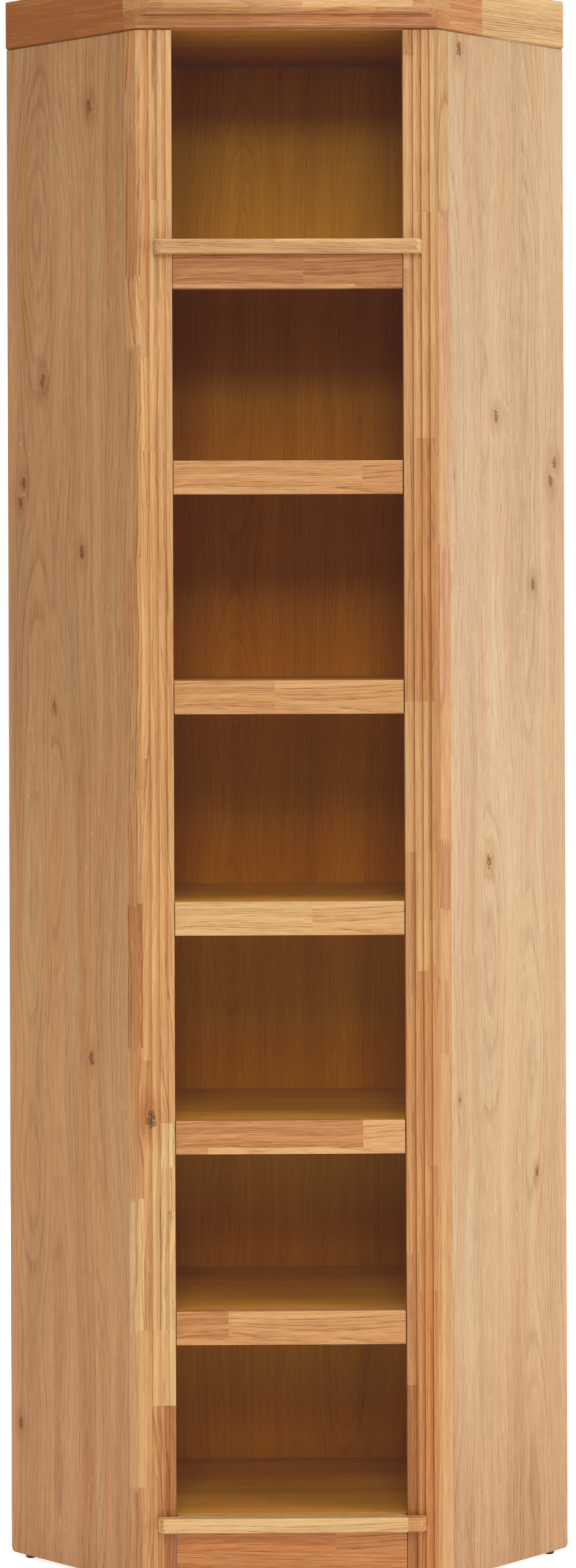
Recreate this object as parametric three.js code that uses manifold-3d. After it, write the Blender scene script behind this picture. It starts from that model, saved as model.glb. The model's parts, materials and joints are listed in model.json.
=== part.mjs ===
// Corner shelf unit in oak.
// A narrow fluted front, two side panels that run back at 45 degrees, and a back that follows the two walls.
// Millimetres, +Z up, the front looks towards -Y, the origin is on the floor in the middle of the footprint.

import * as THREE from 'three';
import { mergeVertices } from 'three/addons/utils/BufferGeometryUtils.js';
import Module from 'manifold-3d';

const wasm = await Module();
wasm.setup();

// Plan of the body. Depths are measured from the front plane of the pilasters.
const frontWidth = 415;
const sideLength = 265;
const backDepth = 350;

// Heights
const glideHeight = 5;
const bodyHeight = 2127;
const capHeight = 67.7;
const plinthHeight = 73;
const topBayHeight = 287.5;

// Boards
const pilasterWidth = 49.2;
const pilasterThickness = 15;
const sideThickness = 19;
const boardThickness = 20;
const topPanelThickness = 20;
const backThickness = 8;
const plankThickness = 15;
const plinthThickness = 19;

// Joints between pieces
const fit = 0.3;
const shelfClearance = 2;
const railClearance = 1;
const overrun = 5;

// Flutes of the pilasters, counted from the outer corner
const fluteCount = 3;
const fluteWidth = 6;
const fluteDepth = 2.4;
const flutePitch = 11.5;
const fluteMargin = 15;
const arrisRadius = 1.5;

// Side panels
const heelRadius = 8;

// Shelves: heights of their tops as shares of the rise from the bottom board to the upper board
const shelfTopShares = [0.827, 0.6545, 0.481, 0.3095, 0.16];
const railHeight = 46;
const railThickness = 20;
const railSetback = 1;

// Shelf pins and the rows of holes that they fit
const pinDiameter = 5;
const pinCollarDiameter = 8;
const pinCollarThickness = 1.5;
const pinReach = 11;
const pinTipRadius = 1;
const pinHoleDiameter = 5.4;
const pinHoleDepth = 10;
const pinHolePitch = 32;
const pinHoleSteps = [-2, -1, 0, 1, 2];
const pinRowInset = 52;

// Nosing boards that lie across the pilasters
const nosingReach = 18;
const nosingOverlap = 25.8;
const nosingCornerRadius = 12;

// Cap: the moulding of its front board, from its lower edge upwards
const capProud = 1.5;
const shadowGapHeight = 2;
const shadowGapDepth = 3;
const lowerRoundHeight = 7;
const lowerRoundReach = 6.5;
const lowerFillet = 1;
const coveHeight = 8;
const coveReach = 3;
const upperFillet = 1;
const upperFilletHeight = 2;
const quirkDepth = 3;
const upperRoundHeight = 15;
const upperRoundReach = 6;

// Rear plinth board
const rearPlinthLength = 400;
const rearPlinthInset = 40;

// Glides
const glideDiameter = 14;
const glideEdge = 1.5;
const glideInset = 30;

// Wall brackets
const bracketWidth = 30;
const bracketLeg = 32;
const bracketThickness = 2;
const bracketHoleDiameter = 5;
const bracketInset = 140;

// Facets of the round forms
const fluteSegments = 10;
const roundSegments = 8;
const pinSegments = 10;
const holeSegments = 8;
const glideSegments = 24;

// Places that follow from the sizes above
const corniceReach = lowerRoundReach + lowerFillet + coveReach + upperFillet + quirkDepth + upperRoundReach;
const rearDepth = backDepth + backThickness;
const openingHalf = frontWidth / 2 - pilasterWidth;
const wallSum = frontWidth / 2 + sideLength * Math.SQRT2;
const bodyTop = glideHeight + bodyHeight;
const capBottom = bodyTop + fit;
const bottomBoardTop = glideHeight + plinthHeight + boardThickness;
const upperBoardTop = capBottom - topBayHeight;
const shelfRise = upperBoardTop - bottomBoardTop;
const shelfTops = shelfTopShares.map((share) => bottomBoardTop + share * shelfRise);
const pinDrop = boardThickness + fit + pinDiameter / 2;
const pinRows = { front: pinRowInset, rear: sideLength - pinRowInset };

function finish(color, roughness, metalness = 0) {
  return new THREE.MeshStandardMaterial({ color, roughness, metalness });
}

// Adds a named piece at a place in its group.
function place(group, name, geometry, material, x = 0, y = 0, z = 0) {
  const mesh = new THREE.Mesh(geometry, material);
  mesh.name = name;
  mesh.position.set(x, y, z);
  group.add(mesh);
  return mesh;
}

// Turns a closed geometry into a solid for cutting, and back.
function solidOf(geometry) {
  const bare = geometry.clone();
  bare.deleteAttribute('normal');
  bare.deleteAttribute('uv');
  const welded = mergeVertices(bare);
  return new wasm.Manifold(new wasm.Mesh({
    numProp: 3,
    vertProperties: new Float32Array(welded.attributes.position.array),
    triVerts: new Uint32Array(welded.index.array),
  }));
}

function geometryOf(solid) {
  const { vertProperties, triVerts } = solid.getMesh();
  const geometry = new THREE.BufferGeometry();
  geometry.setAttribute('position', new THREE.BufferAttribute(vertProperties, 3));
  geometry.setIndex(new THREE.BufferAttribute(triVerts, 1));
  geometry.computeVertexNormals();
  return geometry;
}

// Outlines in plan. A left-hand piece mirrors the outline of the right-hand one.
function mirrorX(points) {
  return points.map((point) => new THREE.Vector2(-point.x, point.y));
}

function mirrorY(points) {
  return points.map((point) => new THREE.Vector2(point.x, -point.y));
}

function extrude(outline, depth) {
  const shape = Array.isArray(outline) ? new THREE.Shape(outline) : outline;
  return new THREE.ExtrudeGeometry(shape, { depth, bevelEnabled: false, curveSegments: roundSegments });
}

// Profiles drawn as (x, z) and swept along Y, or drawn as (y, z) and swept along X, centred on the sweep.
const axisX = new THREE.Vector3(1, 0, 0);
const axisY = new THREE.Vector3(0, 1, 0);
const axisZ = new THREE.Vector3(0, 0, 1);

function sweepAlongY(outline, length) {
  const upright = new THREE.Matrix4().makeBasis(axisX, axisZ, axisY.clone().negate());
  return extrude(outline, length).translate(0, 0, -length / 2).applyMatrix4(upright);
}

function sweepAlongX(outline, length) {
  const lengthwise = new THREE.Matrix4().makeBasis(axisY, axisZ, axisX);
  return extrude(outline, length).translate(0, 0, -length / 2).applyMatrix4(lengthwise);
}

// The six-sided plan of the body: front, two sides at 45 degrees, two wall sides and the flat back.
function bodyOutline(frontY, sideInset, wallInset, rearY) {
  const side = frontWidth / 2 - sideInset * Math.SQRT2;
  const wall = wallSum - wallInset * Math.SQRT2;
  const half = [
    new THREE.Vector2(side + frontY, frontY),
    new THREE.Vector2((wall + side) / 2, (wall - side) / 2),
    new THREE.Vector2(wall - rearY, rearY),
  ];
  return [...half, ...mirrorX(half).reverse()];
}

// One fluted board of the front. Its outer edge is cut at 45 degrees, in line with the side panel.
function pilasterOutline() {
  const corner = frontWidth / 2;
  const fluteRadius = (fluteWidth ** 2 / 4 + fluteDepth ** 2) / (2 * fluteDepth);
  const rise = Math.asin((fluteRadius - fluteDepth) / fluteRadius);
  const shape = new THREE.Shape();
  shape.moveTo(openingHalf, pilasterThickness);
  shape.lineTo(openingHalf, arrisRadius);
  shape.absarc(openingHalf + arrisRadius, arrisRadius, arrisRadius, Math.PI, Math.PI * 1.5, false);
  for (let index = fluteCount - 1; index >= 0; index -= 1) {
    const centre = corner - fluteMargin - index * flutePitch;
    shape.absarc(centre, fluteDepth - fluteRadius, fluteRadius, Math.PI - rise, rise, true);
  }
  shape.lineTo(corner, 0);
  shape.lineTo(corner + pilasterThickness, pilasterThickness);
  return shape.getPoints(fluteSegments).filter(isNewPoint);
}

function isNewPoint(point, index, points) {
  return index === 0 || point.distanceTo(points[index - 1]) > Number.EPSILON * frontWidth;
}

function addPilaster(group, name, material, hand) {
  const outline = hand > 0 ? pilasterOutline() : mirrorX(pilasterOutline());
  place(group, name, extrude(outline, bodyHeight), material, 0, 0, glideHeight);
}

// What stands on one side of the body is drawn along the run of the side panel: X runs from the front corner to
// the wall, and the thickness grows inwards from the outer face, towards +Y on the right and -Y on the left.
function sideOutline(frontDepth, outer, inner, hand) {
  const points = [
    new THREE.Vector2(frontDepth * Math.SQRT2 - outer, outer),
    new THREE.Vector2(sideLength, outer),
    new THREE.Vector2(sideLength, inner),
    new THREE.Vector2(frontDepth * Math.SQRT2 - inner, inner),
  ];
  return hand > 0 ? points : mirrorY(points);
}

function heelProfile() {
  const shape = new THREE.Shape();
  shape.moveTo(-sideThickness, bodyHeight);
  shape.lineTo(-sideThickness, 0);
  shape.absarc(sideLength - heelRadius, heelRadius, heelRadius, -Math.PI / 2, 0, false);
  shape.lineTo(sideLength, bodyHeight);
  return shape;
}

function pinHole(x, z, hand) {
  const length = pinHoleDepth + overrun;
  const hole = new THREE.CylinderGeometry(pinHoleDiameter / 2, pinHoleDiameter / 2, length, holeSegments);
  return hole.translate(x, hand * (sideThickness - pinHoleDepth + length / 2), z);
}

// A side panel with its bevelled front edge, its rounded heel and its rows of blind pin holes.
function sidePanelGeometry(hand) {
  const outline = sideOutline(pilasterThickness + fit, 0, sideThickness, hand);
  const board = solidOf(extrude(outline, bodyHeight));
  const profile = solidOf(sweepAlongY(heelProfile(), 2 * (sideThickness + overrun)));
  let panel = board.intersect(profile);
  for (const top of shelfTops) {
    for (const step of pinHoleSteps) {
      for (const x of Object.values(pinRows)) {
        const z = top - pinDrop - glideHeight + step * pinHolePitch;
        panel = panel.subtract(solidOf(pinHole(x, z, hand)));
      }
    }
  }
  return geometryOf(panel);
}

// A steel shelf pin: shank in the hole, collar against the panel, peg under the shelf.
function pinGeometry() {
  const shankRadius = pinDiameter / 2;
  const collarRadius = pinCollarDiameter / 2;
  const shankLength = pinHoleDepth - fit;
  const seat = fit + pinCollarThickness;
  const profile = [
    new THREE.Vector2(0, fit - shankLength),
    new THREE.Vector2(shankRadius, fit - shankLength),
    new THREE.Vector2(shankRadius, fit),
    new THREE.Vector2(collarRadius, fit),
    new THREE.Vector2(collarRadius, seat),
    new THREE.Vector2(shankRadius, seat),
    new THREE.Vector2(shankRadius, pinReach - pinTipRadius),
    new THREE.Vector2(shankRadius - pinTipRadius, pinReach),
    new THREE.Vector2(0, pinReach),
  ];
  return new THREE.LatheGeometry(profile, pinSegments);
}

function glideGeometry() {
  const radius = glideDiameter / 2;
  const profile = [
    new THREE.Vector2(0, 0),
    new THREE.Vector2(radius - glideEdge, 0),
    new THREE.Vector2(radius, glideEdge),
    new THREE.Vector2(radius, glideHeight - fit),
    new THREE.Vector2(0, glideHeight - fit),
  ];
  return new THREE.LatheGeometry(profile, glideSegments).rotateX(Math.PI / 2);
}

// The dark line under the cap is a rebate along the lower outer edge of its planks.
function shadowRebate(length, hand) {
  const rebate = new THREE.BoxGeometry(length, shadowGapDepth + overrun, shadowGapHeight + overrun);
  const y = shadowGapDepth - capProud - (shadowGapDepth + overrun) / 2;
  return rebate.translate(length / 2, hand * y, (shadowGapHeight - overrun) / 2);
}

function capSideGeometry(hand) {
  const outline = sideOutline(plankThickness + fit, -capProud, plankThickness - capProud, hand);
  const plank = solidOf(extrude(outline, capHeight));
  return geometryOf(plank.subtract(solidOf(shadowRebate(sideLength + overrun, hand))));
}

// A wall bracket: one leg on the top panel, one leg up the wall, a screw hole in each.
function bracketGeometry() {
  const profile = [
    new THREE.Vector2(0, 0),
    new THREE.Vector2(0, bracketLeg),
    new THREE.Vector2(-bracketThickness, bracketLeg),
    new THREE.Vector2(-bracketThickness, bracketThickness),
    new THREE.Vector2(-bracketLeg, bracketThickness),
    new THREE.Vector2(-bracketLeg, 0),
  ];
  const radius = bracketHoleDiameter / 2;
  const drill = new THREE.CylinderGeometry(radius, radius, bracketThickness + 2 * overrun, pinSegments);
  const footHole = drill.clone().rotateX(Math.PI / 2).translate(-bracketLeg / 2, 0, bracketThickness / 2);
  const wallHole = drill.clone().rotateZ(Math.PI / 2).translate(-bracketThickness / 2, 0, bracketLeg / 2);
  const angle = solidOf(sweepAlongY(profile, bracketWidth));
  return geometryOf(angle.subtract(solidOf(footHole)).subtract(solidOf(wallHole)));
}

function addSide(unit, sideName, hand, finishes) {
  const side = new THREE.Group();
  side.position.set(hand * frontWidth / 2, 0, 0);
  side.rotation.z = hand > 0 ? Math.PI / 4 : Math.PI * 3 / 4;
  unit.add(side);
  place(side, `side_panel_${sideName}`, sidePanelGeometry(hand), finishes.veneer, 0, 0, glideHeight);
  place(side, `cap_side_${sideName}`, capSideGeometry(hand), finishes.cap, 0, 0, capBottom);
  shelfTops.forEach((top, index) => {
    for (const [row, x] of Object.entries(pinRows)) {
      const name = `pin_${index + 1}_${sideName}_${row}`;
      const pin = place(side, name, pinGeometry(), finishes.steel, x, hand * sideThickness, top - pinDrop);
      pin.rotation.x = hand > 0 ? 0 : Math.PI;
    }
  });
  const glideY = hand * sideThickness / 2;
  const glideFront = pilasterThickness * Math.SQRT2 + glideInset;
  place(side, `glide_front_${sideName}`, glideGeometry(), finishes.plastic, glideFront, glideY, 0);
  place(side, `glide_rear_${sideName}`, glideGeometry(), finishes.plastic, sideLength - glideInset, glideY, 0);
  const bracketZ = capBottom + topPanelThickness + fit;
  const bracketY = hand * bracketInset;
  place(side, `wall_bracket_${sideName}`, bracketGeometry(), finishes.steel, sideLength, bracketY, bracketZ);
}

// The section of the cap's front board as (y, z): plain face above, then the moulding down to the shadow gap.
function corniceProfile() {
  const shape = new THREE.Shape();
  const upperRoundBottom = shadowGapHeight + lowerRoundHeight + coveHeight + upperFilletHeight;
  const quirkY = upperRoundReach - corniceReach;
  shape.moveTo(plankThickness, 0);
  shape.lineTo(plankThickness, capHeight);
  shape.lineTo(-corniceReach, capHeight);
  shape.lineTo(-corniceReach, upperRoundBottom + upperRoundHeight);
  shape.absellipse(quirkY, upperRoundBottom + upperRoundHeight, upperRoundReach, upperRoundHeight,
    Math.PI, Math.PI * 1.5, false, 0);
  shape.lineTo(quirkY + quirkDepth, upperRoundBottom);
  shape.lineTo(quirkY + quirkDepth, upperRoundBottom - upperFilletHeight);
  const coveTop = quirkY + quirkDepth + upperFillet;
  const coveFoot = shadowGapHeight + lowerRoundHeight;
  shape.lineTo(coveTop, upperRoundBottom - upperFilletHeight);
  shape.quadraticCurveTo(coveTop + coveReach, coveFoot + coveHeight, coveTop + coveReach, coveFoot);
  shape.lineTo(-lowerRoundReach, coveFoot);
  shape.absellipse(0, coveFoot, lowerRoundReach, lowerRoundHeight, Math.PI, Math.PI * 1.5, false, 0);
  shape.lineTo(shadowGapDepth, shadowGapHeight);
  shape.lineTo(shadowGapDepth, 0);
  return shape;
}

// The front board runs across both pilasters, and its ends are cut in the planes of the cap's side planks.
function corniceGeometry() {
  const moulding = solidOf(sweepAlongX(corniceProfile(), frontWidth + 4 * plankThickness));
  const reach = corniceReach + overrun;
  const corner = frontWidth / 2 + capProud * Math.SQRT2;
  const half = [
    new THREE.Vector2(corner - reach, -reach),
    new THREE.Vector2(corner + plankThickness + overrun, plankThickness + overrun),
  ];
  const ends = extrude([...half, ...mirrorX(half).reverse()], capHeight + 2 * overrun);
  let board = moulding.intersect(solidOf(ends.translate(0, 0, -overrun)));
  for (const hand of [1, -1]) {
    const rebate = shadowRebate(sideLength, hand).translate(-reach * Math.SQRT2, 0, 0);
    rebate.rotateZ(hand > 0 ? Math.PI / 4 : Math.PI * 3 / 4).translate(hand * frontWidth / 2, 0, 0);
    board = board.subtract(solidOf(rebate));
  }
  return geometryOf(board);
}

function addCapAndTop(unit, finishes) {
  place(unit, 'cornice_front', corniceGeometry(), finishes.cap, 0, 0, capBottom);
  const outline = bodyOutline(plankThickness + fit, plankThickness - capProud + fit, 0, rearDepth);
  place(unit, 'top_panel', extrude(outline, topPanelThickness), finishes.board, 0, 0, capBottom);
}

// The flat back and the two wall-side backs meet on a mitre, and stand on the level of the bottom board.
function addBack(unit, finishes) {
  const bottom = bottomBoardTop - boardThickness;
  const height = bodyTop - bottom;
  const inner = wallSum - backThickness * Math.SQRT2 - backDepth;
  const outer = wallSum - rearDepth;
  const flat = [new THREE.Vector2(inner - fit, backDepth), new THREE.Vector2(outer - fit, rearDepth)];
  const flatOutline = [...flat, ...mirrorX(flat).reverse()];
  place(unit, 'back_panel_centre', extrude(flatOutline, height), finishes.back, 0, 0, bottom);
  const sideInner = frontWidth / 2 - (sideThickness + fit) * Math.SQRT2;
  const wallInner = wallSum - backThickness * Math.SQRT2;
  const wallOutline = [
    new THREE.Vector2((wallInner + sideInner) / 2, (wallInner - sideInner) / 2),
    new THREE.Vector2((wallSum + sideInner) / 2, (wallSum - sideInner) / 2),
    new THREE.Vector2(outer, rearDepth),
    new THREE.Vector2(inner, backDepth),
  ];
  place(unit, 'back_panel_right', extrude(wallOutline, height), finishes.back, 0, 0, bottom);
  place(unit, 'back_panel_left', extrude(mirrorX(wallOutline), height), finishes.back, 0, 0, bottom);
}

// A nosing board: a tongue between the pilasters and a ledge with rounded corners across them.
function nosingOutline() {
  const tongue = openingHalf - fit;
  const ledge = openingHalf + nosingOverlap;
  const front = -fit - nosingReach;
  const turn = nosingCornerRadius;
  const shape = new THREE.Shape();
  shape.moveTo(-tongue, pilasterThickness);
  shape.lineTo(-tongue, -fit);
  shape.lineTo(-ledge, -fit);
  shape.absarc(-ledge + turn, front + turn, turn, Math.PI, Math.PI * 1.5, false);
  shape.absarc(ledge - turn, front + turn, turn, Math.PI * 1.5, Math.PI * 2, false);
  shape.lineTo(ledge, -fit);
  shape.lineTo(tongue, -fit);
  shape.lineTo(tongue, pilasterThickness);
  return shape;
}

function fixedBoardGeometry() {
  return extrude(bodyOutline(pilasterThickness + fit, sideThickness + fit, backThickness + fit, backDepth - fit),
    boardThickness);
}

// A board between the pilasters, with its face set back a little from theirs.
function crossBoard(clearance, thickness, height) {
  const board = new THREE.BoxGeometry(2 * (openingHalf - clearance), thickness, height);
  return board.translate(0, railSetback + thickness / 2, height / 2);
}

function addUpperBoard(unit, finishes) {
  const bottom = upperBoardTop - boardThickness;
  place(unit, 'upper_board', fixedBoardGeometry(), finishes.board, 0, 0, bottom);
  place(unit, 'upper_nosing', extrude(nosingOutline(), boardThickness), finishes.nosing, 0, 0, bottom);
  const rail = crossBoard(fit, railThickness, railHeight);
  place(unit, 'upper_rail', rail, finishes.rail, 0, 0, bottom - fit - railHeight);
}

function addPlinth(unit, finishes) {
  const bottom = glideHeight + plinthHeight;
  const height = plinthHeight - fit;
  place(unit, 'bottom_board', fixedBoardGeometry(), finishes.board, 0, 0, bottom);
  place(unit, 'bottom_nosing', extrude(nosingOutline(), boardThickness), finishes.nosing, 0, 0, bottom);
  const front = crossBoard(fit, plinthThickness, height);
  place(unit, 'plinth_front', front, finishes.rail, 0, 0, glideHeight);
  const rearY = backDepth - rearPlinthInset;
  const rear = new THREE.BoxGeometry(rearPlinthLength, plinthThickness, height);
  place(unit, 'plinth_rear', rear, finishes.board, 0, rearY, glideHeight + height / 2);
  for (const [name, hand] of [['left', -1], ['right', 1]]) {
    const x = hand * (rearPlinthLength / 2 - glideInset);
    place(unit, `glide_plinth_${name}`, glideGeometry(), finishes.plastic, x, rearY, 0);
  }
}

// An adjustable shelf: a six-sided board behind the pilasters and a deep rail between them.
function addShelf(unit, number, top, finishes) {
  const shelf = new THREE.Group();
  shelf.position.z = top;
  unit.add(shelf);
  const front = railSetback + railThickness + fit;
  const outline = bodyOutline(front, sideThickness + shelfClearance, backThickness + shelfClearance,
    backDepth - shelfClearance);
  const board = extrude(outline, boardThickness);
  place(shelf, `shelf_${number}_board`, board, finishes.board, 0, 0, -boardThickness);
  const rail = crossBoard(railClearance, railThickness, railHeight);
  place(shelf, `shelf_${number}_rail`, rail, finishes.rail, 0, 0, -railHeight);
}

const finishes = {
  pilaster: finish(0xd29f63, 0.55),
  veneer: finish(0xc29b6b, 0.6),
  cap: finish(0xb97f4a, 0.5),
  rail: finish(0xd8a468, 0.55),
  nosing: finish(0xdcb27a, 0.5),
  board: finish(0xa87838, 0.6),
  back: finish(0x9a6a34, 0.65),
  steel: finish(0xb9bcc0, 0.3, 1),
  plastic: finish(0x17171a, 0.5),
};

const unit = new THREE.Group();
unit.position.y = (corniceReach - rearDepth) / 2;

addPilaster(unit, 'pilaster_left', finishes.pilaster, -1);
addPilaster(unit, 'pilaster_right', finishes.pilaster, 1);
addSide(unit, 'left', -1, finishes);
addSide(unit, 'right', 1, finishes);
addBack(unit, finishes);
addCapAndTop(unit, finishes);
addUpperBoard(unit, finishes);
addPlinth(unit, finishes);
shelfTops.forEach((top, index) => addShelf(unit, index + 1, top, finishes));

export default unit;
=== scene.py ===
# %% [markdown]
# # A corner shelf unit in oak
# The unit stands in a room corner: a narrow fluted front, two side panels at 45 degrees, seven open bays.
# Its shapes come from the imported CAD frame. This lesson dresses them: it eases their edges, makes glued
# oak, knotty veneer, nickel and plastic from shader nodes, adds the small screws, and lights the unit in
# a studio.

# %% Load the frame
import json
import math

import bmesh
import bpy
from mathutils import Matrix, Vector

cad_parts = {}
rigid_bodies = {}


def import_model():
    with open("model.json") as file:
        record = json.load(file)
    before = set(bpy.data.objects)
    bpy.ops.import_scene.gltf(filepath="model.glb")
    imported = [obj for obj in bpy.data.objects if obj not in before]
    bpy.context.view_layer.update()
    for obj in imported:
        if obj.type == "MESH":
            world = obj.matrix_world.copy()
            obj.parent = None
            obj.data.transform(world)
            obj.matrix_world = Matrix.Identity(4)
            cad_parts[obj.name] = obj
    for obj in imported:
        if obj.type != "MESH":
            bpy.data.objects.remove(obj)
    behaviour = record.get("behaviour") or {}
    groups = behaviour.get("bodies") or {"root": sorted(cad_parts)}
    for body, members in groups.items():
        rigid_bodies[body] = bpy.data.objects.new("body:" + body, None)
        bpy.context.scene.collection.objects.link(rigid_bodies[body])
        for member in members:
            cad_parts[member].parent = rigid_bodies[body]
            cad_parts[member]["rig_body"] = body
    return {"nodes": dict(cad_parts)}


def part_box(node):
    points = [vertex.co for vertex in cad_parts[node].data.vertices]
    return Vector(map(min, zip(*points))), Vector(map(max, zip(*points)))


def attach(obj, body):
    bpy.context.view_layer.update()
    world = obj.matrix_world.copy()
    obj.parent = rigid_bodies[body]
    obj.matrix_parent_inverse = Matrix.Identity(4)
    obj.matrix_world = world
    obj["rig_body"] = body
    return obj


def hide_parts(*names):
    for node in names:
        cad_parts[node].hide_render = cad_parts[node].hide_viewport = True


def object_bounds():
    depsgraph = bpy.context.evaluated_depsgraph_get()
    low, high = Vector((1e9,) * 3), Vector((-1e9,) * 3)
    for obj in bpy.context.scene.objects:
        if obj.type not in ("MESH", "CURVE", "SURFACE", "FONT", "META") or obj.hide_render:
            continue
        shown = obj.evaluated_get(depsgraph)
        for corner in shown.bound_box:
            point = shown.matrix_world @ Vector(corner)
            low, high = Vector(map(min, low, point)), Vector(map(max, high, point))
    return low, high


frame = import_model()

cad_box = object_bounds()
scene = bpy.context.scene
MM = 0.001


def placed(name, data):
    made = bpy.data.objects.new(name, data)
    scene.collection.objects.link(made)
    return made


# %% [markdown]
# ## Places that the other steps share
# The frame gives the corner of the front, where a pilaster meets a side panel, and the slope of the sides.
# Each board has its own directions: across the face, into the board, and along the grain. A left-hand
# board mirrors a right-hand one, so both are written once, with a hand of -1 or 1.

# %% Corner of the front and directions of the sides
HANDS = {"left": -1, "right": 1}
X, Y, Z = Vector((1, 0, 0)), Vector((0, 1, 0)), Vector((0, 0, 1))

pilaster_low, pilaster_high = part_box("pilaster_right")
front_y = pilaster_low.y
pilaster_thickness = pilaster_high.y - pilaster_low.y
corner_x = pilaster_high.x - pilaster_thickness
unit_top = cad_box[1].z


def corner(hand):
    return Vector((hand * corner_x, front_y, 0))


def side_run(hand):
    """Along a side panel, from the front corner to the wall."""
    return (X * hand + Y).normalized()


def side_inwards(hand):
    """From the outer face of a side panel into the board."""
    return (Y - X * hand).normalized()


print("corner at", round(corner_x, 4), "front plane at", round(front_y, 4),
      "opening", round(2 * pilaster_low.x, 4))

# %% [markdown]
# ## Camera
# The photograph was taken from about 5.1 m in front and 1.34 m above the floor, with a long lens. The
# camera stays level, so that the uprights stay parallel, and the lens is shifted down to take in the whole
# unit. These values were fitted to edges whose real places the CAD model gives.

# %% Camera
CAMERA_PLACE = Vector((-0.0761, -5.3051, 1.3393))
CAMERA_TURN = math.radians(0.838)
CAMERA_ROLL = math.radians(-0.209)
SENSOR = 36.0
FOCAL_LENGTH = 86.14
LENS_SHIFT = -0.1117
SEEN_DISTANCE = 60

camera_data = bpy.data.cameras.new("camera")
camera_data.sensor_width = SENSOR
camera_data.lens = FOCAL_LENGTH
camera_data.shift_y = LENS_SHIFT
camera_data.clip_end = SEEN_DISTANCE
camera = placed("camera", camera_data)
ahead = Vector((math.sin(CAMERA_TURN), math.cos(CAMERA_TURN), 0))
level = ahead.cross(Z)
to_right = level * math.cos(CAMERA_ROLL) + Z * math.sin(CAMERA_ROLL)
upwards = Z * math.cos(CAMERA_ROLL) - level * math.sin(CAMERA_ROLL)
turned = Matrix((to_right, upwards, -ahead)).transposed().to_4x4()
camera.matrix_world = Matrix.Translation(CAMERA_PLACE) @ turned
scene.camera = camera
print("lens", FOCAL_LENGTH, "mm, shift", LENS_SHIFT)

# %% [markdown]
# ## Helpers for node trees
# Node trees are long to write by hand. This small class adds a node, sets its settings, and plugs each
# input with either a number or another node's output, so that a material reads like a sum.

# %% Node tree helper
class Tree:
    """Adds nodes to a node tree. An input takes a plain value or the output of another node."""

    def __init__(self, node_tree):
        self.node_tree = node_tree

    def plug(self, socket, value):
        if isinstance(value, bpy.types.NodeSocket):
            self.node_tree.links.new(value, socket)
        else:
            socket.default_value = value

    def add(self, kind, inputs=None, **settings):
        made = self.node_tree.nodes.new(kind)
        for name, value in settings.items():
            setattr(made, name, value)
        for key, value in (inputs or {}).items():
            self.plug(made.inputs[key], value)
        return made

    def math(self, operation, *values):
        made = self.add("ShaderNodeMath", operation=operation)
        for socket, value in zip(made.inputs, values):
            self.plug(socket, value)
        return made.outputs[0]

    def times(self, first, second):
        return self.math("MULTIPLY", first, second)

    def plus(self, first, second):
        return self.math("ADD", first, second)

    def minus(self, first, second):
        return self.math("SUBTRACT", first, second)

    def vector(self, operation, *values):
        made = self.add("ShaderNodeVectorMath", operation=operation)
        for socket, value in zip(made.inputs, values):
            self.plug(socket, value)
        scalar = operation in ("DOT_PRODUCT", "LENGTH")
        return made.outputs["Value" if scalar else "Vector"]

    def parts(self, vector):
        return self.add("ShaderNodeSeparateXYZ", {0: vector}).outputs

    def join(self, x, y, z):
        return self.add("ShaderNodeCombineXYZ", {0: x, 1: y, 2: z}).outputs[0]

    def scaled(self, vector, factor):
        inputs = {0: vector, "Scale": factor}
        return self.add("ShaderNodeVectorMath", inputs, operation="SCALE").outputs[0]

    def noise(self, vector, per_metre, detail=2.0, roughness=0.55):
        """Noise from 0 to 1 with its own number of spots per metre along each axis."""
        scaled = self.vector("MULTIPLY", vector, per_metre)
        settings = {"Vector": scaled, "Scale": 1.0, "Detail": detail, "Roughness": roughness}
        return self.add("ShaderNodeTexNoise", settings).outputs["Fac"]

    def ramp(self, value, low, high, start=0.0, end=1.0):
        """A soft step from start to end as the value goes from low to high."""
        settings = {"Value": value, "From Min": low, "From Max": high, "To Min": start, "To Max": end}
        return self.add("ShaderNodeMapRange", settings, interpolation_type="SMOOTHSTEP").outputs[0]

    def mix(self, share, first, second, blend_type="MIX"):
        made = self.add("ShaderNodeMix", data_type="RGBA", blend_type=blend_type)
        for index, value in zip((0, 6, 7), (share, first, second)):
            self.plug(made.inputs[index], value)
        return made.outputs[2]

    def use(self, group, inputs):
        return self.add("ShaderNodeGroup", inputs, node_tree=group).outputs


def new_material(name):
    material = bpy.data.materials.new(name)
    material.use_nodes = True
    return material, Tree(material.node_tree), material.node_tree.nodes["Principled BSDF"]


def new_group(name, inputs, outputs):
    """An empty node group with named sockets, given as (name, kind) or (name, kind, usual value)."""
    group = bpy.data.node_groups.new(name, "ShaderNodeTree")
    for direction, sockets in (("INPUT", inputs), ("OUTPUT", outputs)):
        for socket_name, kind, *usual in sockets:
            made = group.interface.new_socket(
                socket_name, in_out=direction, socket_type="NodeSocket" + kind)
            if usual:
                made.default_value = usual[0]
    tree = Tree(group)
    return group, tree, tree.add("NodeGroupInput").outputs, tree.add("NodeGroupOutput").inputs


# %% [markdown]
# ## Board space
# Wood grain belongs to the board and not to the room. This group turns a point of the object into the
# board's own place: x across the face, y into the board, z along the grain, all in metres. Each material
# gives it the three directions, so the same grain serves uprights, rails and the slanted sides.

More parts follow.
